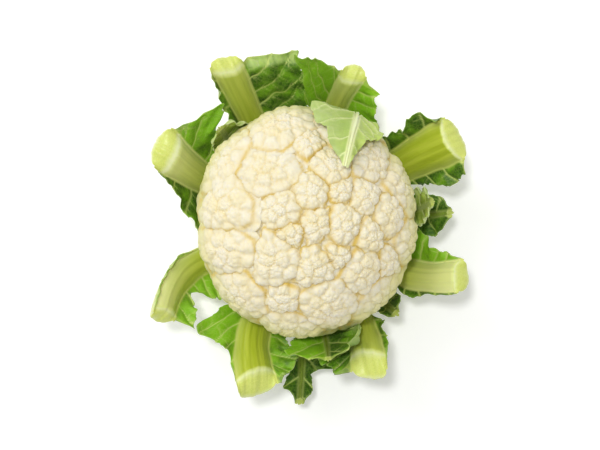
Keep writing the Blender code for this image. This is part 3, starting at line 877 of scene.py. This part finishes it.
def growStalk():
    turns, foot, head = 160, stalkLook["foot"], curd["head"][2]
    angles = np.linspace(0, 2 * np.pi, turns, endpoint=False)
    profile = [(share * foot, 0.0, 1.0) for share in np.linspace(0.04, 0.97, 24)] + [(foot, 0.4, 0.5)]
    profile += [(foot + 1.2 * eased(z, 0, 8), z, 0.0) for z in np.arange(1, head, 1.0)]
    rows = []  # each one's radius, height, and how much of it is cut face and ring
    for radius, z, cut in profile:
        if cut == 1:
            uneven = 0.15 * waves(angles * radius, 5, int(radius * 3)) + 0.15
            ring = math.exp(-((radius - stalkLook["ringRadius"]) / 1.6) ** 2)
            rows.append((radius, z + uneven, cut, ring))
        else:
            rough = 0.35 * waves(angles * 9, 4, int(z) + 2) * (1 - cut)
            for scarHeight, count in stalkLook["scars"]:
                rough = rough + 0.9 * np.exp(-((z - scarHeight - 2 * np.sin(angles * count)) / 1.4) ** 2)
            rows.append((radius + rough, z, cut, 0.0))
    for step in range(1, 14):
        angle = math.pi / 2 * step / 14
        rows.append((stalkRadius * math.cos(angle), head + stalkRadius * math.sin(angle), 0.0, 0.0))

    points = [np.column_stack((spread * np.cos(angles), spread * np.sin(angles), height + 0 * angles))
              for spread, height, _, _ in rows]
    points = np.concatenate(points + [np.array(((0, 0, 0.15), (0, 0, head + stalkRadius)))])
    index = np.arange(len(rows) * turns).reshape(len(rows), turns)
    after = np.roll(index, -1, axis=1)
    faces = np.stack((index[:-1], after[:-1], after[1:], index[1:]), axis=-1).reshape(-1, 4).tolist()
    bottom, top = len(points) - 2, len(points) - 1
    faces += [[bottom, after[0, k], index[0, k]] for k in range(turns)]
    faces += [[top, index[-1, k], after[-1, k]] for k in range(turns)]
    fields = {"cut": np.append(np.repeat([row[2] for row in rows], turns), (1, 0)),
              "ring": np.append(np.repeat([row[3] for row in rows], turns), (0, 0))}
    piece = addPiece("stalk_grown", points, faces, stalkMaterial(), fields)
    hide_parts("stalk")
    print("stalk: grown")


# Stage: floor, light and camera.

stage = {
    "floor": shade(254, 254, 254),
    "floorHalf": 4.0,
    "centre": (-0.004, -0.004, 0.1),  # what the camera looks at, and from how far
    "distance": 1.02,
    "elevation": 87.0,
    "lens": 85.0,
    "glow": 0.12,  # light the floor gives out itself
    "sky": 0.56,
    "key": (-1.1, 1.0, 1.5, 1.2, 12.5),  # place, breadth and power
    "above": (-0.2, 0.16, 2.0, 0.22, 15.0),  # small, for close shadows
}


def areaLight(name, x, y, z, breadth, power):
    lamp = bpy.data.lights.new(name, "AREA")
    lamp.shape, lamp.size, lamp.energy = "DISK", breadth, power
    made = bpy.data.objects.new(name, lamp)
    made.location = (x, y, z)
    made.rotation_euler = (-made.location).to_track_quat("-Z", "Y").to_euler()
    bpy.context.scene.collection.objects.link(made)


def setStage():
    half = stage["floorHalf"]
    mesh = bpy.data.meshes.new("floor")
    corners = [(-half, -half, 0), (half, -half, 0), (half, half, 0), (-half, half, 0)]
    mesh.from_pydata(corners, [], [(0, 1, 2, 3)])
    board = Board("floor", {"Roughness": 0.8, "Base Color": stage["floor"],
                            "Emission Color": (1, 1, 1, 1), "Emission Strength": stage["glow"]})
    mesh.materials.append(board.material)
    floor = bpy.data.objects.new("floor", mesh)
    bpy.context.scene.collection.objects.link(floor)
    world = bpy.data.worlds.new("studio")
    world.use_nodes = True
    world.node_tree.nodes["Background"].inputs["Color"].default_value = (1, 1, 1, 1)
    world.node_tree.nodes["Background"].inputs["Strength"].default_value = stage["sky"]
    bpy.context.scene.world = world
    areaLight("key", *stage["key"])
    areaLight("above", *stage["above"])
    lens = bpy.data.cameras.new("camera")
    lens.lens, lens.clip_start, lens.clip_end = stage["lens"], 0.05, 20
    camera = bpy.data.objects.new("camera", lens)
    tilt = math.radians(90 - stage["elevation"])
    x, y, z = stage["centre"]
    camera.location = (x, y - stage["distance"] * math.sin(tilt), z + stage["distance"] * math.cos(tilt))
    camera.rotation_euler = (tilt, 0, 0)
    bpy.context.scene.collection.objects.link(camera)
    bpy.context.scene.camera = camera
    bpy.context.scene.view_settings.view_transform = "Standard"
    print("stage: floor, lights and camera set")


growCurd()
growLeaves()
growStalk()
setStage()
